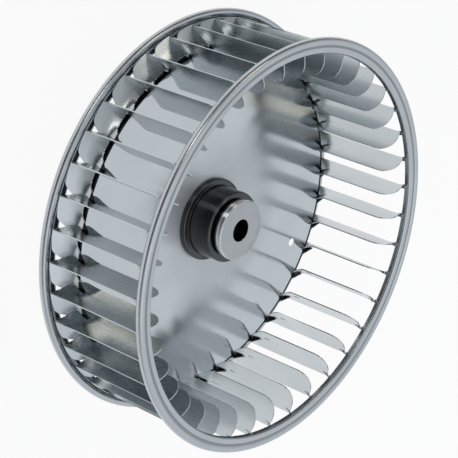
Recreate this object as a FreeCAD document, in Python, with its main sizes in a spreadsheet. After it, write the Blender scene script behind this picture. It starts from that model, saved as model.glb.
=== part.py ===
import FreeCAD, Part
import os
import re
import Sketcher

# Fan impeller: a single inlet drum wheel of bright zinc coated sheet.
# Millimetres. The shaft runs along Z, the origin is on the shaft axis in the
# plane that the rear ring stands on, and the inlet faces +Z.

doc = FreeCAD.newDocument("FanImpeller")

# Driving dimensions, and below them the sizes that follow from them

SIZES = {
    "wheel_radius": 110,
    "wheel_width": 70,
    "seat_gap": 0.1,
    # End rings, pressed from sheet with a rolled outer bead
    "bead_radius": 2.2,
    "ring_sheet": 0.8,
    "lip_reach": 8.2,
    "lip_depth": 4.2,
    "lip_bend": 1.1,
    "lip_step": 0.4,
    # Blade strip
    "blade_count": 39,
    "strip_sheet": 0.6,
    "blade_chord": 17.25,
    "band_width": 1.05,
    "band_inset": 2.85,
    "neck_width": 2.4,
    "neck_skin": 0.05,
    "blade_end_inset": 7.8,
    "blade_crown_inset": 5.1,
    "crown_run": 12.2,
    "crown_fall": 0.8,
    "corner_radius": 7.2,
    "blade_heel": 7.2,
    "tab_clear": 2.6,
    "tab_root": 3.9,
    "tab_corner": 6.4,
    "tab_lip": 3.1,
    "tab_rise": 0.6,
    # Centre disc
    "disc_inset": 11.2,
    "disc_sheet": 1.6,
    "disc_height": 11.7,
    "pilot_inset": 14.4,
    "pilot_radius": 2.2,
    "pilot_angle": -10.3,
    # Hub and grub screw
    "bore_radius": 6,
    "hub_height": 35.8,
    "spigot_radius": 11,
    "stake_radius": 13.5,
    "stake_depth": 1.5,
    "flange_radius": 22.4,
    "flange_depth": 2.9,
    "body_radius": 19.2,
    "groove_radius": 14.2,
    "groove_width": 1.8,
    "collar_radius": 16.2,
    "collar_depth": 3.8,
    "hub_chamfer": 0.8,
    "screw_radius": 3,
    "screw_length": 8,
    "screw_height": 23,
    "screw_setback": 0.6,
    "socket_across": 3,
    "socket_depth": 3.5,
    # Sizes that follow
    "bead_place": "=wheel_radius - bead_radius",
    "bead_corner": "=bead_radius / cos(22.5)",
    "lip_inner": "=wheel_radius - lip_reach",
    "lip_outer": "=lip_inner + ring_sheet",
    "strip_outer": "=wheel_radius - 2 * bead_radius",
    "strip_inner": "=strip_outer - strip_sheet",
    "blade_inner": "=strip_outer - blade_chord",
    "blade_pitch": "=2 * strip_outer * sin(180 / blade_count)",
    "tab_end": "=blade_pitch - tab_clear",
    "body_top": "=hub_height - collar_depth - groove_width",
    "band_top": "=band_inset + band_width",
    "front_band": "=wheel_width - band_top",
    "blade_end": "=wheel_width - blade_end_inset",
    "blade_crown": "=wheel_width - blade_crown_inset",
    "disc_radius": "=strip_outer - disc_inset",
    "pilot_place": "=disc_radius - pilot_inset",
    "disc_front": "=disc_height + disc_sheet",
    "tab_seat": "=disc_height - seat_gap",
    "tab_knee": "=disc_radius + seat_gap",
    "tab_slope": "=(tab_seat - band_top) / (strip_outer - tab_knee)",
    "strip_middle": "=strip_outer - strip_sheet / 2",
    "tab_start": "=strip_inner - strip_sheet",
    "tab_drop": "=strip_sheet * sqrt(1 + tab_slope ^ 2)",
}

sheet = doc.addObject("Spreadsheet::Sheet", "Sizes")
for row, (alias, value) in enumerate(SIZES.items(), start=1):
    sheet.set(f"A{row}", alias)
    sheet.set(f"B{row}", str(value))
    sheet.setAlias(f"B{row}", alias)
doc.recompute()


def size(expression):
    """The value of a size, or of a sum of sizes, in millimetres or degrees."""
    return float(sheet.evalExpression(expression))


def bound(expression):
    """The same expression as an object outside the sheet has to write it."""
    return re.sub(r"[a-z][a-z_]+", lambda word: "Sizes." + word[0] if word[0] in SIZES else word[0], expression)


def bind(item, **sizes):
    for name, expression in sizes.items():
        item.setExpression(name.replace("__", "."), bound(expression))


def body(label):
    new = doc.addObject("PartDesign::Body", label)
    new.Label = label
    return new


def plane(owner, role):
    return next(item for item in owner.Origin.OriginFeatures if item.Role == role)


def sketch_on(owner, name, role):
    sketch = owner.newObject("Sketcher::SketchObject", name)
    sketch.AttachmentSupport = [(plane(owner, role), "")]
    sketch.MapMode = "FlatFace"
    return sketch


def fix_point(sketch, geometry, end, place):
    """Ties one point of a sketch to the two expressions of its place."""
    for axis, expression in zip("XY", place):
        index = sketch.addConstraint(Sketcher.Constraint(f"Distance{axis}", -1, 1, geometry, end, size(expression)))
        sketch.setExpression(f"Constraints[{index}]", bound(expression))


def flats(across, along, radius, first, last, count):
    """Corners of an arc drawn as flats, from its centre, its radius and two angles."""
    turns = [first + (last - first) * step / count for step in range(count + 1)]
    return [(f"{across} + {radius} * cos({turn:g})", f"{along} + {radius} * sin({turn:g})") for turn in turns]


def outline(owner, name, role, corners):
    """A closed outline of straight stretches between the places of its corners."""
    sketch = sketch_on(owner, name, role)
    points = [FreeCAD.Vector(size(across), size(along), 0) for across, along in corners]
    for start, stop in zip(points, points[1:] + points[:1]):
        sketch.addGeometry(Part.LineSegment(start, stop))
    for side, corner in enumerate(corners):
        sketch.addConstraint(Sketcher.Constraint("Coincident", side - 1 if side else len(corners) - 1, 2, side, 1))
        fix_point(sketch, side, 1, corner)
    return sketch


def circles(owner, name, role, rings):
    """Circles given by the places of their centres and their radii."""
    sketch = sketch_on(owner, name, role)
    for across, along, radius in rings:
        centre = FreeCAD.Vector(size(across), size(along), 0)
        geometry = sketch.addGeometry(Part.Circle(centre, FreeCAD.Vector(0, 0, 1), size(radius)))
        index = sketch.addConstraint(Sketcher.Constraint("Radius", geometry, size(radius)))
        sketch.setExpression(f"Constraints[{index}]", bound(radius))
        if (across, along) == ("0", "0"):
            sketch.addConstraint(Sketcher.Constraint("Coincident", geometry, 3, -1, 1))
        else:
            fix_point(sketch, geometry, 3, (across, along))
    return sketch


def turned(owner, sketch, angle="360"):
    """Turns a section about the shaft axis."""
    revolution = owner.newObject("PartDesign::Revolution", "Turn_" + sketch.Name)
    revolution.Profile = sketch
    revolution.ReferenceAxis = (sketch, ["V_Axis"])
    bind(revolution, Angle=angle)
    return revolution


def padded(owner, sketch, depth, both_ways=False):
    pad = owner.newObject("PartDesign::Pad", "Pad_" + sketch.Name)
    pad.Profile = sketch
    bind(pad, Length=depth)
    pad.Midplane = both_ways
    return pad


# End rings
# One pressing, used twice. From the inside outwards: a short lip that covers the
# edge of the blade strip, a shallow groove, and an edge rolled over into a bead.

def end_ring(label):
    ring = body(label)
    ring.Tip = turned(ring, outline(ring, label + "_section", "XZ_Plane", [
        ("lip_inner", "lip_depth"),
        ("lip_inner", "lip_step + lip_bend"),
        ("lip_inner + lip_bend", "lip_step"),
        *flats("bead_place", "bead_radius", "bead_corner", 247.5, 517.5, 6),
        ("strip_outer", "lip_step + ring_sheet"),
        ("lip_outer", "lip_step + ring_sheet"),
        ("lip_outer", "lip_depth"),
    ]))
    return ring


rear_ring = end_ring("rear_ring")
front_ring = end_ring("front_ring")
front_ring.Placement.Rotation = FreeCAD.Rotation(FreeCAD.Vector(1, 0, 0), 180)
bind(front_ring, Placement__Base__z="wheel_width")

# Blade strip
# One strip of sheet, lanced and rolled into a drum. Its two plain edges are the
# bands inside the rings. Each window between the bands has one blade, turned
# inwards about its outer edge until it stands radially, and one short tab at the
# rear that slopes in to the back of the disc. Narrow necks join them to the bands.

strip = body("blade_strip")


def slope_at(across):
    """Height of the upper side of a sloped tab at a place across the wheel."""
    return f"band_top + (strip_outer - ({across})) * tab_slope"


turned(strip, outline(strip, "rear_band", "XZ_Plane", [
    ("strip_inner", "band_inset"),
    ("strip_outer", "band_inset"),
    ("strip_outer", "band_top"),
    ("strip_inner", "band_top"),
]))
blade = padded(strip, outline(strip, "blade", "XZ_Plane", [
    ("strip_middle", "band_top - tab_drop / 2"),
    ("strip_middle", "blade_end"),
    ("blade_inner + crown_run", "blade_crown - crown_fall"),
    *flats("blade_inner + corner_radius", "blade_crown - corner_radius", "corner_radius", 90, 180, 3),
    ("blade_inner", "disc_front + blade_heel"),
    ("blade_inner + blade_heel / 6", "disc_front + blade_heel / 2"),
    ("blade_inner + blade_heel / 2", "disc_front + seat_gap"),
    ("disc_radius + 3 * seat_gap", "disc_front + seat_gap"),
    ("disc_radius + 3 * seat_gap", "tab_seat - tab_drop / 2"),
]), "strip_sheet", both_ways=True)
front_neck = padded(strip, outline(strip, "front_neck", "XZ_Plane", [
    ("strip_inner + neck_skin", "blade_end - strip_sheet"),
    ("strip_outer - neck_skin", "blade_end - strip_sheet"),
    ("strip_outer - neck_skin", "front_band + band_width / 2"),
    ("strip_inner + neck_skin", "front_band + band_width / 2"),
]), "neck_width", both_ways=True)
turned(strip, outline(strip, "front_band", "XZ_Plane", [
    ("strip_inner", "front_band"),
    ("strip_outer", "front_band"),
    ("strip_outer", "front_band + band_width"),
    ("strip_inner", "front_band + band_width"),
]))
tab_foot = padded(strip, outline(strip, "tab_foot", "XZ_Plane", [
    ("strip_middle", slope_at("strip_middle") + " - tab_drop + neck_skin"),
    ("strip_middle", slope_at("strip_middle") + " - neck_skin"),
    ("tab_start - strip_sheet", slope_at("tab_start - strip_sheet") + " - neck_skin"),
    ("tab_start - strip_sheet", slope_at("tab_start - strip_sheet") + " - tab_drop + neck_skin"),
]), "tab_root - neck_skin")
tab_foot.Reversed = True
tab = padded(strip, outline(strip, "tab", "XZ_Plane", [
    ("tab_start", slope_at("tab_start") + " - tab_drop"),
    ("tab_start", slope_at("tab_start")),
    ("tab_knee", "tab_seat"),
    ("tab_knee - tab_lip", "tab_seat"),
    ("tab_knee - tab_lip", "tab_seat - strip_sheet"),
    ("tab_knee - (tab_drop - strip_sheet) / tab_slope", "tab_seat - strip_sheet"),
]), "tab_end")
tab.Reversed = True
# The free rear corner of the tab is rounded off and stands clear of the band.
tab_corner = outline(strip, "tab_corner", "YZ_Plane", [
    ("tab_root", "band_top + neck_skin"),
    ("tab_end + seat_gap", "band_top + neck_skin"),
    ("tab_end + seat_gap", "band_top + tab_rise + tab_corner"),
    *flats("tab_end - tab_corner", "band_top + tab_rise + tab_corner", "tab_corner", 360, 270, 3),
])
bind(tab_corner, AttachmentOffset__Base__z="tab_knee - tab_lip")
corner_cut = strip.newObject("PartDesign::Pocket", "Cut_tab_corner")
corner_cut.Profile = tab_corner
corner_cut.Reversed = True
bind(corner_cut, Length="wheel_radius - tab_knee + tab_lip")
doc.recompute()

windows = strip.newObject("PartDesign::PolarPattern", "Windows")
windows.Originals = [blade, front_neck, tab_foot, tab, corner_cut]
windows.Axis = (plane(strip, "Z_Axis"), [""])
windows.Angle = 360
bind(windows, Occurrences="blade_count")
strip.Tip = windows

# Centre disc
# A flat disc, held at its rim between the blade heels in front and the tabs
# behind. It has a hole for the hub and one small pilot hole near the rim.

disc = body("centre_disc")
disc.Tip = padded(disc, circles(disc, "disc_rim", "XY_Plane", [
    ("0", "0", "disc_radius"),
    ("0", "0", "spigot_radius + seat_gap / 2"),
    ("pilot_place", "0", "pilot_radius"),
]), "disc_sheet")
bind(disc, Placement__Base__z="disc_height", Placement__Rotation__Angle="pilot_angle")

# Hub
# Turned from bar. Its spigot passes through the disc and is staked over behind
# it. In front are a flange, the body with the grub screw, a groove and a collar.

hub = body("hub")
turned(hub, outline(hub, "hub_section", "XZ_Plane", [
    ("bore_radius", "disc_height - stake_depth"),
    ("stake_radius - stake_depth", "disc_height - stake_depth"),
    ("stake_radius", "disc_height"),
    ("spigot_radius", "disc_height"),
    ("spigot_radius", "disc_front"),
    ("flange_radius", "disc_front"),
    ("flange_radius", "disc_front + flange_depth - hub_chamfer"),
    ("flange_radius - hub_chamfer", "disc_front + flange_depth"),
    ("body_radius", "disc_front + flange_depth"),
    ("body_radius", "body_top - hub_chamfer"),
    ("body_radius - hub_chamfer", "body_top"),
    ("groove_radius", "body_top"),
    ("groove_radius", "body_top + groove_width"),
    ("collar_radius", "body_top + groove_width"),
    ("collar_radius", "hub_height - hub_chamfer"),
    ("collar_radius - hub_chamfer", "hub_height"),
    ("bore_radius", "hub_height"),
]))
screw_hole = hub.newObject("PartDesign::Pocket", "Screw_hole")
screw_hole.Profile = circles(hub, "screw_circle", "YZ_Plane", [("0", "screw_height", "screw_radius + seat_gap / 2")])
screw_hole.Reversed = True
bind(screw_hole, Length="flange_radius")
hub.Tip = screw_hole

# Grub screw
# A hexagon socket screw in the side of the hub, backed off just clear of the bore.

shank = doc.addObject("Part::Cylinder", "screw_shank")
bind(shank, Radius="screw_radius", Height="screw_length")
socket = doc.addObject("Part::Prism", "screw_socket")
socket.Polygon = 6
bind(socket, Circumradius="socket_across / sqrt(3)", Height="socket_depth * 2")
bind(socket, Placement__Base__z="screw_length - socket_depth")
screw = doc.addObject("Part::Cut", "grub_screw")
screw.Label = "grub_screw"
screw.Base = shank
screw.Tool = socket
screw.Placement.Rotation = FreeCAD.Rotation(FreeCAD.Vector(0, 1, 0), 90)
bind(screw, Placement__Base__x="bore_radius + screw_setback", Placement__Base__z="screw_height")

# Checks and files

doc.recompute()
pieces = [rear_ring, strip, front_ring, disc, hub, screw]
for item in doc.Objects:
    if "Invalid" in item.State or "Error" in item.State:
        raise RuntimeError(f"{item.Label} failed: {item.State}")
for piece in pieces:
    if piece.Shape.isNull() or not piece.Shape.isValid() or len(piece.Shape.Solids) != 1:
        raise RuntimeError(f"{piece.Label} is not one sound solid")
os.makedirs("parts", exist_ok=True)
for piece in pieces:
    piece.Shape.exportStep(f"parts/{piece.Label}.step")
    box = piece.Shape.BoundBox
    print(f"{piece.Label}: {piece.Shape.Volume:.0f} mm3, z {box.ZMin:.2f} to {box.ZMax:.2f}, x to {box.XMax:.2f}")
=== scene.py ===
import math

import bmesh
import bpy
from mathutils import Matrix, Vector


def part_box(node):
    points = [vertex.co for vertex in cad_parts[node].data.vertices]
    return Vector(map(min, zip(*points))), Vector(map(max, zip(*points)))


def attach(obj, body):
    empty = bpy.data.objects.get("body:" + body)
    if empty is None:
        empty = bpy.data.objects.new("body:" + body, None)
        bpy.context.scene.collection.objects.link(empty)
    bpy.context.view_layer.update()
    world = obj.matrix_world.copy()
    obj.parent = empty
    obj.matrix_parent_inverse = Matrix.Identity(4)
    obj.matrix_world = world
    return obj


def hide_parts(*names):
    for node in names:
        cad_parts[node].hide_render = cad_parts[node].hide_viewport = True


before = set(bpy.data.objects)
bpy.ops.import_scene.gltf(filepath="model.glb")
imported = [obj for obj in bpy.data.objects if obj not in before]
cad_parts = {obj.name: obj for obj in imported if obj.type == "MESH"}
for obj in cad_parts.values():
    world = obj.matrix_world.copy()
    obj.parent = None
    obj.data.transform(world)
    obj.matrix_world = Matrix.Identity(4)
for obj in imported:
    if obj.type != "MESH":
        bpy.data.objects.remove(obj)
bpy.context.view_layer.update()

# End rings
# Two like pressings of bright zinc coated sheet. The outer edge is rolled over into
# a round bead and the inner edge turns in as a short lip. Each is pressed over one
# plain edge of the blade strip.

MM = 0.001
wheel_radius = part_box("front_ring")[1].x
wheel_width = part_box("front_ring")[1].z
bead_radius = (wheel_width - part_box("front_ring")[0].z) / 2
bead_first_angle, bead_last_angle, bead_steps = 240, 550, 40
ring_sheet = 0.8 * MM
lip_inner = wheel_radius - 8.2 * MM
lip_outer = lip_inner + ring_sheet
lip_depth = 2 * bead_radius - 0.2 * MM
lip_bend = 1.2 * MM
lip_edge = 0.3 * MM
groove_depth = 0.7 * MM
groove_fillet = 0.3 * MM
groove_outer = wheel_radius - 1.75 * bead_radius
groove_back = wheel_radius - 1.9 * bead_radius
# Painted shade: the rings are painted darker in a band round the groove.
groove_shade = (wheel_radius - 2.4 * bead_radius, wheel_radius - 1.85 * bead_radius, -1, 1)
turning_steps = 288
crease_angle = math.radians(35)


class Value:
    """A socket of a node tree. Arithmetic on it adds Math nodes."""

    def __init__(self, tree, socket):
        self.tree = tree
        self.socket = socket

    def __add__(self, other):
        return self.tree.maths("ADD", self, other)

    def __radd__(self, other):
        return self.tree.maths("ADD", other, self)

    def __sub__(self, other):
        return self.tree.maths("SUBTRACT", self, other)

    def __rsub__(self, other):
        return self.tree.maths("SUBTRACT", other, self)

    def __mul__(self, other):
        return self.tree.maths("MULTIPLY", self, other)

    def __rmul__(self, other):
        return self.tree.maths("MULTIPLY", other, self)

    def __truediv__(self, other):
        return self.tree.maths("DIVIDE", self, other)


class Tree:
    """The nodes of a finish, of the blade drum or of the studio around the wheel."""

    def __init__(self, tree):
        self.nodes = tree.nodes
        self.links = tree.links

    def feed(self, socket, value):
        """A socket gets its own value, or a link from another node."""
        if isinstance(value, Value):
            self.links.new(value.socket, socket)
        else:
            socket.default_value = value

    def node(self, kind, settings=None, inputs=None, output=0):
        """A node of the tree: its settings first, then values or links for its sockets."""
        made = self.nodes.new(kind)
        for setting, value in (settings or {}).items():
            setattr(made, setting, value)
        for socket, value in (inputs or {}).items():
            self.feed(made.inputs[socket], value)
        return Value(self, made.outputs[output]) if made.outputs else made

    def maths(self, operation, first, second=0.0):
        return self.node("ShaderNodeMath", {"operation": operation}, {0: first, 1: second})

    def vector_maths(self, operation, first, second=(0, 0, 0), output="Vector"):
        return self.node("ShaderNodeVectorMath", {"operation": operation}, {0: first, 1: second}, output)

    def along(self, place, direction):
        """How far a place lies along a direction."""
        return self.vector_maths("DOT_PRODUCT", place, direction, "Value")

    def ramp(self, value, start, stop):
        """A smooth rise from 0 at the start to 1 at the stop."""
        return self.node("ShaderNodeMapRange", {"interpolation_type": "SMOOTHSTEP"},
                         {0: value, 1: start, 2: stop, 3: 0.0, 4: 1.0})

    def mixed(self, share, first, second):
        """Two colours mixed by a share."""
        return self.node("ShaderNodeMix", {"data_type": "RGBA"}, {0: share, 6: first, 7: second}, output=2)


class Finish(Tree):
    """A material around one Principled shader, with the constants it is given."""

    def __init__(self, name, **constants):
        self.material = bpy.data.materials.new(name)
        self.material.use_nodes = True
        super().__init__(self.material.node_tree)
        self.shader = self.nodes["Principled BSDF"]
        for socket, value in constants.items():
            self.shade(socket.replace("_", " "), value)

    def shade(self, socket, value):
        """One socket of the shader gets a value or a link."""
        self.feed(self.shader.inputs[socket], value)

    def emboss(self, relief, strength, distance):
        """Fine relief on the surface."""
        bump = self.node("ShaderNodeBump", {}, {"Strength": strength, "Distance": distance, "Height": relief})
        self.shade("Normal", bump)

    def place(self):
        """A point's place on its piece."""
        return self.node("ShaderNodeTexCoord", output="Object")

    def radius(self, place):
        """How far a place is from the shaft axis."""
        return self.vector_maths("LENGTH", self.vector_maths("MULTIPLY", place, (1, 1, 0)), output="Value")

    def height(self, place):
        """How far a place is up the shaft axis."""
        return self.node("ShaderNodeSeparateXYZ", {}, {0: place}, "Z")

    def noise(self, place, scale, detail=2.0, stretch=(1, 1, 1)):
        """Soft noise from 0 to 1, drawn out along the axes with a small stretch."""
        drawn = self.vector_maths("MULTIPLY", place, stretch)
        return self.node("ShaderNodeTexNoise", {}, {"Vector": drawn, "Scale": scale, "Detail": detail})


cloud_scale, cloud_gloss = 45.0, 0.12
line_scale, line_gloss = 900.0, 0.08
wave_scale = 28.0
relief_height = 1 * MM
shade_inner_fade, shade_outer_fade = 0.3 * MM, 0.5 * MM
shade_low_fade, shade_high_fade = 0.5 * MM, 2 * MM
brush_matt, brush_inner, brush_outer = 0.35, 20 * MM, 62 * MM


def zinc_sheet(name, pale, dull, roughness, grain, stretch, shade_band,
               shade_tone=(0.02, 0.022, 0.025, 1), dents=0.0, brushed=0.0):
    """Bright zinc coated sheet: a faint cloudy coat, rolling lines and slight waves.
    Where it is brushed round the shaft, what it mirrors is drawn out towards the hub.
    A band between two radii and between two heights is painted in a darker tone, as painted shade."""
    finish = Finish(name, Metallic=1.0, Anisotropic=brushed, Anisotropic_Rotation=0.25)
    place = finish.place()
    radius = finish.radius(place)
    height = finish.height(place)
    clouds = finish.noise(place, cloud_scale, 3.0)
    lines = finish.noise(place, line_scale, 2.0, stretch)
    waves = finish.noise(place, wave_scale, 1.0)
    # Painted shade: the band between two radii and two heights gets the darker tone.
    inner, outer, low, high = shade_band
    in_shade = finish.ramp(radius, inner, inner + shade_inner_fade)
    in_shade = in_shade * (1 - finish.ramp(radius, outer, outer + shade_outer_fade))
    in_shade = in_shade * finish.ramp(height, low, low + shade_low_fade)
    in_shade = in_shade * (1 - finish.ramp(height, high, high + shade_high_fade))
    finish.shade("Base Color", finish.mixed(in_shade, finish.mixed(clouds, pale, dull), shade_tone))
    matt = brush_matt * brushed * (1 - finish.ramp(radius, brush_inner, brush_outer))
    finish.shade("Roughness", roughness + matt + cloud_gloss * (clouds - 0.5) + line_gloss * (lines - 0.5))
    finish.emboss(grain * lines + dents * waves, 1.0, relief_height)
    return finish.material


def rounded(corners, count=4):
    """Points of a section whose corners are rounded. A corner is its place and its radius."""
    points = []
    for before, corner, after in zip(corners[-1:] + corners, corners, corners[1:] + corners[:1]):
        here = Vector(corner[:2])
        if corner[2] == 0:
            points.append(here)
            continue
        back = (Vector(before[:2]) - here).normalized()
        on = (Vector(after[:2]) - here).normalized()
        half = back.angle(on) / 2
        centre = here + (back + on).normalized() * corner[2] / math.sin(half)
        start = here + back * corner[2] / math.tan(half) - centre
        stop = here + on * corner[2] / math.tan(half) - centre
        for step in range(count + 1):
            points.append(centre + start.lerp(stop, step / count).normalized() * corner[2])
    return points


def piece(name, mesh, finish):
    """An object from a mesh being made, smooth except at its sharper edges."""
    data = bpy.data.meshes.new(name)
    mesh.to_mesh(data)
    mesh.free()
    data.shade_smooth()
    data.set_sharp_from_angle(angle=crease_angle)
    data.materials.append(finish)
    made = bpy.data.objects.new(name, data)
    bpy.context.scene.collection.objects.link(made)
    return made


def walled(mesh, rows):
    """Quads between closed rows of points, each row joined to the next."""
    for row, following in zip(rows, rows[1:]):
        for near, far in zip(range(len(row)), [*range(1, len(row)), 0]):
            mesh.faces.new((row[near], row[far], following[far], following[near]))


def turned(section, steps=turning_steps):
    """A closed section turned about the shaft axis."""
    mesh = bmesh.new()
    rows = []
    for step in range(steps):
        cosine, sine = math.cos(math.tau * step / steps), math.sin(math.tau * step / steps)
        rows.append([mesh.verts.new((across * cosine, across * sine, along)) for across, along in section])
    walled(mesh, rows + rows[:1])
    bmesh.ops.recalc_face_normals(mesh, faces=mesh.faces)
    return mesh


def bead_round(place):
    """The round of the bead, from where the groove meets it to where the back does."""
    points = []
    for step in range(bead_steps + 1):
        turn = math.radians(bead_first_angle + (bead_last_angle - bead_first_angle) * step / bead_steps)
        centre = wheel_radius - bead_radius
        point = Vector((centre + bead_radius * math.cos(turn), bead_radius + bead_radius * math.sin(turn)))
        points.append((point.x, place(point.y), 0))
    return points


def end_ring(name, node, place):
    """One ring, with its section set down or turned over at its place along the shaft."""
    section = rounded([
        (lip_inner, place(lip_depth), lip_edge),
        (lip_inner, place(groove_depth), lip_bend),
        (groove_outer, place(groove_depth), groove_fillet),
        *bead_round(place),
        (groove_back, place(groove_depth + ring_sheet), 0),
        (lip_outer, place(groove_depth + ring_sheet), lip_bend - ring_sheet),
        (lip_outer, place(lip_depth), lip_edge),
    ])
    ring = piece(name, turned(section), ring_finish)
    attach(ring, "root")
    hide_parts(node)


ring_finish = zinc_sheet(
    "ring_zinc", pale=(0.54, 0.57, 0.6, 1), dull=(0.46, 0.49, 0.51, 1), roughness=0.26,
    grain=0.001, stretch=(1, 1, 0.05), shade_band=groove_shade, shade_tone=(0.27, 0.285, 0.3, 1))
end_ring("rear_ring_pressing", "rear_ring", lambda depth: depth)
end_ring("front_ring_pressing", "front_ring", lambda depth: wheel_width - depth)

# Blade strip
# One strip of zinc coated sheet, lanced and rolled into a drum between the rings. Each
# window has its blade, turned in about its outer edge until it stands radially on a
# twisted neck, and a tab that slopes in behind the disc and rises to the next blade.

blade_count = 39
strip_sheet = 0.6 * MM
sheared_edge = 0.08 * MM
strip_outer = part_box("blade_strip")[1].x
hinge = strip_outer - strip_sheet / 2
band_inset = 2.85 * MM
band_width = 1.05 * MM
disc_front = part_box("centre_disc")[1].z
disc_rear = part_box("centre_disc")[0].z
disc_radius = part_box("centre_disc")[1].x
disc_gap = 0.1 * MM
rim_step = disc_radius + 0.3 * MM
step_width = 0.02 * MM
blade_chord = 16.95 * MM
blade_inner = hinge - blade_chord
blade_levels = (0, 0.03, 0.06, 0.09, 0.12, 0.16, 0.22, 0.4, 0.6, 0.8, 1)
camber = 0.35 * MM
corner_radius = 7.2 * MM
corner_steps = 9
crown = wheel_width - 5.1 * MM
crown_drop = 2.7 * MM
crown_curve = 1.7
heel = 7.2 * MM
heel_twist = math.radians(24)
heel_twist_end = disc_front + 9 * MM
heel_overrun = 1.6
neck_width = 2.4 * MM
neck_foot = crown - crown_drop - 2.5 * MM
neck_top = wheel_width - band_inset - band_width / 2
neck_steps = 8
tab_turn = math.radians(0.9 * 360 / blade_count)
tab_steps = 12
tab_root = 3.9 * MM
tab_reach = 9.0 * MM
tab_rise = 0.3 * MM
tab_corner = 5.4 * MM
tab_knee = disc_radius + disc_gap
tab_lip = 3.1 * MM
tab_ridge = 0.4 * MM
tab_middle = disc_rear - 0.42 * MM
band_edge = band_inset + band_width - 0.16 * MM
tab_slope = (tab_middle - band_edge) / (hinge - tab_knee)
web_rise = 3.8 * MM
web_start = 0.4
web_curve = 1.6
web_foot, web_outer, web_inner, web_end = 1.4 * MM, 1.2 * MM, 0.6 * MM, 0.3 * MM
# Painted shade: the strip is painted near black just outside the disc's rim, up the webs.
rim_shade = (disc_radius, tab_knee + 1.9 * MM, disc_front + 0.5 * MM, disc_front + web_rise)


def sheet_patch(mesh, rows):
    """Quads between rows of points."""
    rows = [[mesh.verts.new(point) for point in row] for row in rows]
    for row, following in zip(rows, rows[1:]):
        for near in range(len(row) - 1):
            mesh.faces.new((row[near], row[near + 1], following[near + 1], following[near]))


def smooth_step(share):
    return share * share * (3 - 2 * share)


def blade_rear(across):
    """Height of the blade's rear edge: a rounded heel, the disc, then down to the band."""
    if across > rim_step:
        return tab_middle - tab_slope * (across - tab_knee)
    heel_share = min((across - blade_inner) / (heel / 2), 1)
    return disc_front + disc_gap + heel * (1 - math.sin(heel_share * math.pi / 2))


def blade_front(across):
    """Height of the blade's front edge: a round inner corner, then a falling crown."""
    from_corner = across - (blade_inner + corner_radius)
    if from_corner < 0:
        return crown - corner_radius + math.sqrt(max(corner_radius ** 2 - from_corner ** 2, 0))
    return crown - crown_drop * (from_corner / (blade_chord - corner_radius)) ** crown_curve


def on_blade(across, height):
    """A point of the blade's sheet, bowed, and twisted near its heel."""
    bow = camber * (1 - (2 * (across - hinge) / blade_chord + 1) ** 2)
    below_twist = (heel_twist_end - height) / (heel_twist_end - disc_front)
    twist = heel_twist * smooth_step(min(max(below_twist, 0), heel_overrun) / heel_overrun)
    return ((across - hinge) * math.cos(twist), bow + (across - hinge) * math.sin(twist), height)


def tab_edge(turn):
    """Height of the tab's lower edge at a turn from its blade: root, then free corner.
    The tab narrows as it rises, so the height is worked out in a few rounds."""
    height = band_edge
    for _ in range(6):
        along = (hinge - (height - band_edge) / tab_slope) * math.sin(turn)
        if along < tab_root:
            height = band_edge
        elif along < tab_reach:
            height = band_edge + tab_rise * (along - tab_root) / (tab_reach - tab_root)
        else:
            drop = math.sqrt(max(tab_corner ** 2 - (along - tab_reach) ** 2, 0))
            height = band_edge + tab_rise + tab_corner - drop
    return min(height, tab_middle)


def tab_line(share):
    """The tab at a share of its turn: up the slope, over the web beside the next blade,
    and in under the disc."""
    low = tab_edge(tab_turn * share)
    web_share = max((share - web_start) / (1 - web_start), 0)
    web = tab_middle + tab_ridge + (disc_front + web_rise - tab_middle) * web_share ** web_curve
    climb = [low + (tab_middle - low) * part for part in (0, 0.33, 0.66)]
    return [
        *[(hinge - (height - band_edge) / tab_slope, height) for height in climb],
        (tab_knee + web_foot, tab_middle + tab_ridge / 2),
        (tab_knee + web_outer, web),
        (tab_knee + web_inner, web),
        (tab_knee + web_end, tab_middle),
        (tab_knee - tab_lip / 2, tab_middle),
        (tab_knee - tab_lip, tab_middle),
    ]


one_blade = bmesh.new()
corner_turns = [math.radians(90 * step / corner_steps) for step in range(corner_steps + 1)]
places = {blade_inner + corner_radius * (1 - math.cos(turn)) for turn in corner_turns}
places |= {rim_step - step_width / 2, rim_step + step_width / 2}
places |= {hinge - inward * MM for inward in (7, 4.5, 2.2, 0)}
blade_rows = []
for across in sorted(places):
    low, high = blade_rear(across), blade_front(across)
    blade_rows.append([on_blade(across, low + (high - low) * level) for level in blade_levels])
sheet_patch(one_blade, blade_rows)

neck_rows = []
for step in range(neck_steps + 1):
    twist = smooth_step(step / neck_steps) * math.pi / 2
    height = neck_foot + (neck_top - neck_foot) * step / neck_steps
    middle = -neck_width / 2 * (1 - math.sin(twist))
    neck_rows.append([
        (middle + side * math.cos(twist), side * math.sin(twist), height)
        for side in (-neck_width / 2, -neck_width / 6, neck_width / 6, neck_width / 2)
    ])
sheet_patch(one_blade, neck_rows)

tab_rows = [[on_blade(*point) for point in tab_line(0)]]
for step in range(tab_steps + 1):
    cosine, sine = math.cos(tab_turn * step / tab_steps), math.sin(tab_turn * step / tab_steps)
    tab_rows.append([
        (across * cosine - hinge, across * sine, height) for across, height in tab_line(step / tab_steps)
    ])
sheet_patch(one_blade, tab_rows)

strip_finish = zinc_sheet(
    "strip_zinc", pale=(0.6, 0.64, 0.66, 1), dull=(0.5, 0.54, 0.56, 1), roughness=0.27,
    grain=0.001, stretch=(1, 1, 0.04), shade_band=rim_shade, dents=0.08)
blades = piece("blade_pattern", one_blade, strip_finish)
thickness = blades.modifiers.new("Sheet thickness", "SOLIDIFY")
thickness.thickness = strip_sheet
thickness.offset = 0
edge = blades.modifiers.new("Sheared edge", "BEVEL")
edge.width = sheared_edge
edge.limit_method = "ANGLE"
edge.angle_limit = math.radians(50)

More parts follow.
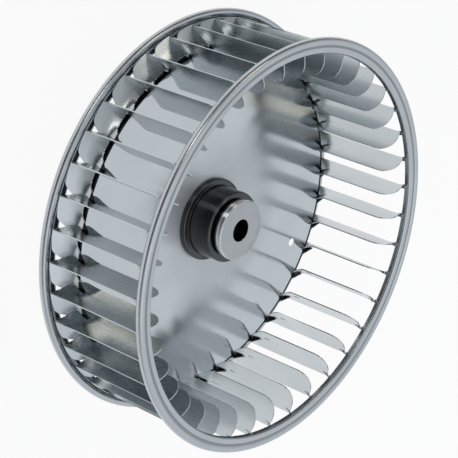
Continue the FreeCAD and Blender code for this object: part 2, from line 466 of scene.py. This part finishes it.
drum_group = bpy.data.node_groups.new("Blade drum", "GeometryNodeTree")
drum_group.interface.new_socket("Blade", in_out="INPUT", socket_type="NodeSocketGeometry")
drum_group.interface.new_socket("Drum", in_out="OUTPUT", socket_type="NodeSocketGeometry")
drum_inputs = {
    "Blade count": ("NodeSocketInt", blade_count),
    "Hinge radius": ("NodeSocketFloat", hinge),
    "Uneven turn": ("NodeSocketFloat", math.radians(1.2)),
    "Seed": ("NodeSocketInt", 11),
    "Finish": ("NodeSocketMaterial", strip_finish),
}
for name, (kind, value) in drum_inputs.items():
    drum_group.interface.new_socket(name, in_out="INPUT", socket_type=kind)

drum = Tree(drum_group)
given = {name: drum.node("NodeGroupInput", output=name) for name in ("Blade", *drum_inputs)}
blade_turn = drum.node("GeometryNodeInputIndex") * math.tau / given["Blade count"]
hinge_place = drum.node("ShaderNodeCombineXYZ", {}, {
    "X": drum.maths("COSINE", blade_turn) * given["Hinge radius"],
    "Y": drum.maths("SINE", blade_turn) * given["Hinge radius"],
})
scatter = drum.node("FunctionNodeRandomValue", {"data_type": "FLOAT"},
                    {2: -1.0, 3: 1.0, "Seed": given["Seed"]}, output=1)
facing = drum.node("ShaderNodeCombineXYZ", {}, {"Z": blade_turn + scatter * given["Uneven turn"]})
hinges = drum.node("GeometryNodePoints", {}, {"Count": given["Blade count"], "Position": hinge_place})
set_round = drum.node("GeometryNodeInstanceOnPoints", {}, {
    "Points": hinges, "Instance": given["Blade"],
    "Rotation": drum.node("FunctionNodeEulerToRotation", {}, {0: facing}),
})
real = drum.node("GeometryNodeRealizeInstances", {}, {0: set_round})
coated = drum.node("GeometryNodeSetMaterial", {}, {"Geometry": real, "Material": given["Finish"]})
drum.node("NodeGroupOutput", {}, {0: coated})

spread = blades.modifiers.new("Blade drum", "NODES")
spread.node_group = drum_group
for item in drum_group.interface.items_tree:
    if item.in_out == "INPUT" and item.name in drum_inputs:
        spread[item.identifier] = drum_inputs[item.name][1]


def evaluated(made):
    """The mesh of an object with its modifiers worked out."""
    bpy.context.view_layer.update()
    return bpy.data.meshes.new_from_object(made.evaluated_get(bpy.context.evaluated_depsgraph_get()))


set_blades = evaluated(blades)
bpy.data.objects.remove(blades)

strip = bmesh.new()
strip.from_mesh(set_blades)
bpy.data.meshes.remove(set_blades)
for low in (band_inset, wheel_width - band_inset - band_width):
    band = turned(rounded([
        (strip_outer - strip_sheet, low, sheared_edge),
        (strip_outer, low, sheared_edge),
        (strip_outer, low + band_width, sheared_edge),
        (strip_outer - strip_sheet, low + band_width, sheared_edge),
    ], 2))
    set_band = bpy.data.meshes.new("band")
    band.to_mesh(set_band)
    band.free()
    strip.from_mesh(set_band)
    bpy.data.meshes.remove(set_band)
strip = piece("lanced_strip", strip, strip_finish)
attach(strip, "root")
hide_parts("blade_strip")

# Centre disc
# A disc of zinc coated sheet, thicker than the strip, brushed round the shaft and a
# little raised at its rim, which is painted dark as painted shade. The rim is held between
# the heels of the blades and their tabs, the hub is staked in the middle, and one pilot hole goes right
# through.

spigot_radius = 11 * MM
rim_width = 0.6 * MM
rim_rise = 0.35 * MM
rim_edge = 0.2 * MM
disc_edge = 0.3 * MM
# Painted shade: the disc is painted near black round its rim.
disc_shade = (disc_radius - rim_width - 0.4 * MM, 1, -1, 1)
pilot_place = 80 * MM
pilot_radius = 2.2 * MM
pilot_flare = 1.6 * MM
pilot_turn = math.radians(-10.3)
pilot_clear = 0.2 * MM


def rod(start, end, radius, end_radius, sides=48):
    """A straight or tapered rod between two points, to cut holes with."""
    mesh = bmesh.new()
    bmesh.ops.create_cone(mesh, cap_ends=True, segments=sides, radius1=radius, radius2=end_radius,
                          depth=(end - start).length)
    turn = (end - start).to_track_quat("Z", "Y").to_matrix().to_4x4()
    mesh.transform(Matrix.Translation((start + end) / 2) @ turn)
    return mesh


def cut(blank, tool):
    """Cuts a tool's shape out of a piece and throws the tool away."""
    cutter = piece("cutter", tool, blank.data.materials[0])
    hole = blank.modifiers.new("Cut", "BOOLEAN")
    hole.object = cutter
    hole.solver = "EXACT"
    made = evaluated(blank)
    blank.modifiers.clear()
    blank.data = made
    bpy.data.objects.remove(cutter)
    made.set_sharp_from_angle(angle=crease_angle)


disc_finish = zinc_sheet(
    "disc_zinc", pale=(0.62, 0.65, 0.67, 1), dull=(0.55, 0.58, 0.6, 1), roughness=0.13,
    grain=0.002, stretch=(1, 0.04, 1), shade_band=disc_shade, dents=0.03, brushed=0.8)
disc = piece("pressed_disc", turned(rounded([
    (spigot_radius, disc_rear, 0),
    (disc_radius, disc_rear, disc_edge),
    (disc_radius, disc_front + rim_rise, rim_edge),
    (disc_radius - rim_width, disc_front + rim_rise, rim_edge),
    (disc_radius - rim_width, disc_front, 0),
    (spigot_radius, disc_front, 0),
], 3)), disc_finish)
pilot_x, pilot_y = pilot_place * math.cos(pilot_turn), pilot_place * math.sin(pilot_turn)
pilot = Vector((pilot_x, pilot_y, disc_rear - pilot_clear))
through = Vector((0, 0, disc_front - disc_rear + 2 * pilot_clear))
cut(disc, rod(pilot, pilot + through, pilot_radius + pilot_flare, pilot_radius - pilot_clear))
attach(disc, "root")
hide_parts("centre_disc")

# Hub
# Turned from steel bar. Its spigot goes through the disc and is staked over behind
# it. In front stand a flange, the body with the tapped hole for the grub screw, a
# groove and a collar, and the plain bore for the shaft runs through them all.

hub_low, hub_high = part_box("hub")
bore_radius = 6 * MM
stake_radius = 13.5 * MM
flange_radius = hub_high.x
flange_front = disc_front + 2.9 * MM
body_radius = 19.2 * MM
body_front = hub_high.z - 5.6 * MM
groove_radius = 14.2 * MM
groove_front = hub_high.z - 3.8 * MM
collar_radius = 16.2 * MM
screw_height = 23 * MM
screw_radius = 3 * MM
broken_edge = 0.3 * MM
hub_chamfer = 0.8 * MM
hub_steps = 128
# Painted highlight: the collar's side is given a much brighter colour than its face.
collar_highlight_start, collar_highlight_stop = collar_radius - 0.5 * MM, collar_radius - 0.2 * MM
ring_scale, ring_gloss, ring_relief = 3500.0, 0.06, 0.1 * MM


def turned_steel():
    """Steel bar with the fine rings that the lathe tool leaves. Up to the groove it is painted
    dark as painted shade. Above it the steel is bare, and the side of the collar is painted bright as a
    painted highlight."""
    finish = Finish("turned_bar", Metallic=1.0)
    place = finish.place()
    radius = finish.radius(place)
    height = finish.height(place)
    rings = finish.node("ShaderNodeTexNoise", {"noise_dimensions": "1D"},
                        {"W": radius + height, "Scale": ring_scale, "Detail": 1.0})
    clouds = finish.noise(place, 90.0)
    face = finish.mixed(clouds, (0.46, 0.48, 0.49, 1), (0.38, 0.4, 0.41, 1))
    # Painted highlight: beyond these radii the steel is painted near white.
    face_and_highlight = finish.mixed(finish.ramp(radius, collar_highlight_start, collar_highlight_stop), face, (0.85, 0.86, 0.86, 1))
    # Painted shade: below the groove the steel is painted dark.
    body_painted_shade = finish.mixed(clouds, (0.1, 0.105, 0.105, 1), (0.06, 0.065, 0.07, 1))
    collar = finish.ramp(height, groove_front - MM, groove_front)
    finish.shade("Base Color", finish.mixed(collar, body_painted_shade, face_and_highlight))
    finish.shade("Roughness", 0.12 + ring_gloss * (rings - 0.5))
    finish.emboss(rings, 0.25, ring_relief)
    return finish.material


hub_finish = turned_steel()
hub = piece("turned_hub", turned(rounded([
    (bore_radius, hub_low.z, broken_edge),
    (stake_radius - (disc_rear - hub_low.z), hub_low.z, broken_edge),
    (stake_radius, disc_rear, 0),
    (spigot_radius, disc_rear, 0),
    (spigot_radius, disc_front, 0),
    (flange_radius, disc_front, 0),
    (flange_radius, flange_front, hub_chamfer),
    (body_radius, flange_front, broken_edge),
    (body_radius, body_front, hub_chamfer),
    (groove_radius, body_front, broken_edge),
    (groove_radius, groove_front, broken_edge),
    (collar_radius, groove_front, broken_edge),
    (collar_radius, hub_high.z, hub_chamfer),
    (bore_radius, hub_high.z, broken_edge),
], 3), hub_steps), hub_finish)
screw_line = Vector((0, 0, screw_height))
tapped_radius = screw_radius + 0.05 * MM
cut(hub, rod(screw_line, screw_line + Vector((flange_radius * 1.2, 0, 0)), tapped_radius, tapped_radius))
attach(hub, "root")
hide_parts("hub")

# Grub screw
# A blackened steel screw with a hexagon socket, in the tapped hole in the side of
# the hub. It clamps the wheel on the shaft, and here it is backed off.

screw_low, screw_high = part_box("grub_screw")
screw_length = screw_high.x - screw_low.x
screw_sides = 40
thread_pitch = 1 * MM
thread_depth = 0.45 * MM
thread_steps = 8
socket_radius = 3 * MM / math.sqrt(3)
socket_depth = 3.5 * MM


def threaded_rod(start, length):
    """A rod along X with a cut thread that fades out at both ends."""
    mesh = bmesh.new()
    rows = []
    steps = round(length / thread_pitch * thread_steps)
    for step in range(steps + 1):
        along = length * step / steps
        depth = thread_depth * min(1, min(along, length - along) / thread_pitch + 0.5)
        row = []
        for side in range(screw_sides):
            turn = math.tau * side / screw_sides
            wave = abs((along / thread_pitch - side / screw_sides) % 1 - 0.5) * 2
            radius = screw_radius - depth * wave
            row.append((start + along, radius * math.cos(turn), screw_height + radius * math.sin(turn)))
        rows.append([mesh.verts.new(point) for point in row])
    walled(mesh, rows)
    mesh.faces.new(rows[0])
    mesh.faces.new(rows[-1])
    bmesh.ops.recalc_face_normals(mesh, faces=mesh.faces)
    return mesh


screw_finish = Finish("blackened_steel", Metallic=1.0)
wear = screw_finish.noise(screw_finish.place(), 700.0)
screw_finish.shade("Base Color", screw_finish.mixed(wear, (0.05, 0.05, 0.052, 1), (0.1, 0.1, 0.1, 1)))
screw_finish.shade("Roughness", 0.32 + 0.15 * wear)
screw = piece("threaded_grub_screw", threaded_rod(screw_low.x, screw_length), screw_finish.material)
socket_line = Vector((screw_high.x, 0, screw_height))
inward = Vector((socket_depth, 0, 0))
cut(screw, rod(socket_line - inward, socket_line + inward, socket_radius, socket_radius, 6))
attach(screw, "root")
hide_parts("grub_screw")

# Floor and light
# A plain floor that the wheel lies on, a soft studio room and three broad lamps. The
# floor is painted greyer on the dark side of the room, as painted shade. It shows white
# behind the wheel and in what the metal mirrors, and keeps the wheel's shadow.

floor_size = 6
floor_drop = 0.1 * MM
floor_grey, floor_white = (0.4, 0.4, 0.4, 1), (0.92, 0.92, 0.92, 1)
floor_glow = 0.92
floor_bright_side = (0.6, -0.8, 0)
room_bright_side = (0.4, -0.45, 0.8)
room_dark, room_bright = (0.045, 0.05, 0.055, 1), (0.8, 0.83, 0.86, 1)

floor_mesh = bmesh.new()
bmesh.ops.create_grid(floor_mesh, x_segments=1, y_segments=1, size=floor_size)
bmesh.ops.translate(floor_mesh, verts=floor_mesh.verts, vec=(0, 0, -floor_drop))
floor_finish = Finish("white_floor", Roughness=0.9, Metallic=0.0)
floor = piece("floor", floor_mesh, floor_finish.material)
# Painted shade: the floor's colour turns grey towards the dark side of the room.
along_floor = floor_finish.along(floor_finish.place(), floor_bright_side)
paint = floor_finish.mixed(floor_finish.ramp(along_floor, -0.5, 0.3), floor_grey, floor_white)
floor_finish.shade("Base Color", paint)
rays = ("Is Camera Ray", "Is Glossy Ray", "Is Transmission Ray")
seen, mirrored, through = [floor_finish.node("ShaderNodeLightPath", output=ray) for ray in rays]
glow = floor_finish.node("ShaderNodeEmission", {}, {"Color": (1, 1, 1, 1), "Strength": 1.0})
shown = floor_finish.node("ShaderNodeMixShader", {}, {
    0: floor_glow * (seen + mirrored + through),
    1: Value(floor_finish, floor_finish.shader.outputs[0]),
    2: glow,
})
floor_finish.feed(floor_finish.nodes["Material Output"].inputs["Surface"], shown)

world = bpy.data.worlds.new("Studio")
world.use_nodes = True
bpy.context.scene.world = world
studio = Tree(world.node_tree)
bright_side = studio.along(studio.node("ShaderNodeTexCoord"), room_bright_side)
room = studio.mixed(studio.ramp(bright_side, -0.2, 0.85), room_dark, room_bright)
studio.feed(studio.nodes["Background"].inputs["Color"], room)


def lamp(name, place, size, power, colour=(1, 1, 1)):
    """A square soft lamp that faces the wheel."""
    light = bpy.data.lights.new(name, "AREA")
    light.size = size
    light.energy = power
    light.color = colour
    made = bpy.data.objects.new(name, light)
    made.location = place
    to_wheel = Vector((0, 0, wheel_width / 2)) - made.location
    made.rotation_euler = to_wheel.to_track_quat("-Z", "Y").to_euler()
    bpy.context.scene.collection.objects.link(made)


lamp("key_lamp", (-0.45, -0.35, 1.5), 1.3, 1.6)
lamp("warm_lamp", (0.1, 1.05, 0.8), 0.35, 0.8, (1, 0.9, 0.74))
lamp("side_lamp", (-0.75, 0.8, 0.75), 0.35, 1.2, (1, 0.97, 0.92))

# Camera
# It looks into the inlet from the photograph's angle. Its lean and swing place the
# shaft axis against the line of sight, and its distances are in wheel radii.

lean = math.radians(53.57)
swing = math.radians(-21.44)
blade_phase = math.radians(0.352)
wheel_place = Vector((-0.187, 0.088, -8.226)) * 110 * MM
shaft = Vector((math.sin(lean) * math.cos(swing), math.sin(lean) * math.sin(swing), math.cos(lean)))
across = Vector((0, 1, 0)).cross(shaft).normalized()
upward = shaft.cross(across)
wheel_x = across * math.cos(blade_phase) + upward * math.sin(blade_phase)
wheel_y = upward * math.cos(blade_phase) - across * math.sin(blade_phase)
seen_wheel = Matrix((wheel_x, wheel_y, shaft)).transposed().to_4x4()
camera = bpy.data.objects.new("camera", bpy.data.cameras.new("camera"))
camera.data.sensor_width = 36
camera.data.lens = 133.9
camera.matrix_world = (Matrix.Translation(wheel_place) @ seen_wheel).inverted()
bpy.context.scene.collection.objects.link(camera)
bpy.context.scene.camera = camera
bpy.context.scene.view_settings.view_transform = "Standard"
